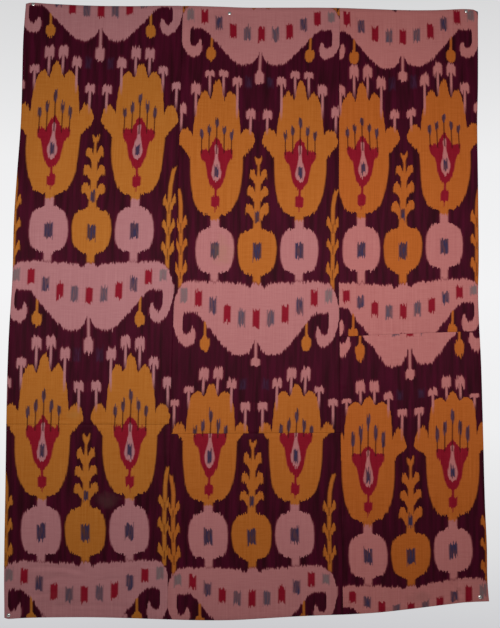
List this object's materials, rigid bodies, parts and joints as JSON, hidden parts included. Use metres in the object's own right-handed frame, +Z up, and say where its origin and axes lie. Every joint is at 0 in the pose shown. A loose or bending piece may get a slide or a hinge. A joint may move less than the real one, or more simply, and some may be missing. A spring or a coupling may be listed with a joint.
{
  "type": "ikat wall hanging with pins",
  "caption": "Pieced ikat cloth of three loom widths, hung flat and held to a wall by domed pins along its top edge and at its lower corners.",
  "frame": {"origin": "middle of the hanging's top edge, on the plane of the wall", "axes": "+X to the viewer's right, +Z up, -Y out of the wall towards the viewer"},
  "size_m": [1.2898, 0.0177, 1.6734],
  "materials": {
    "ikat_silk": "silk warp over cotton weft with a soft sheen, dyed maroon, pink, gold, red and blue",
    "pin_steel": "polished nickel plate"
  },
  "bodies": {
    "root": {"left_upper": "ikat_silk", "left_lower": "ikat_silk", "middle_upper": "ikat_silk", "middle_lower": "ikat_silk", "right_upper": "ikat_silk", "right_lower": "ikat_silk", "corner_patch": "ikat_silk", "pin_top_left": "pin_steel", "pin_top_middle": "pin_steel", "pin_top_right": "pin_steel", "pin_bottom_left": "pin_steel", "pin_bottom_right": "pin_steel"}
  },
  "joints": []
}
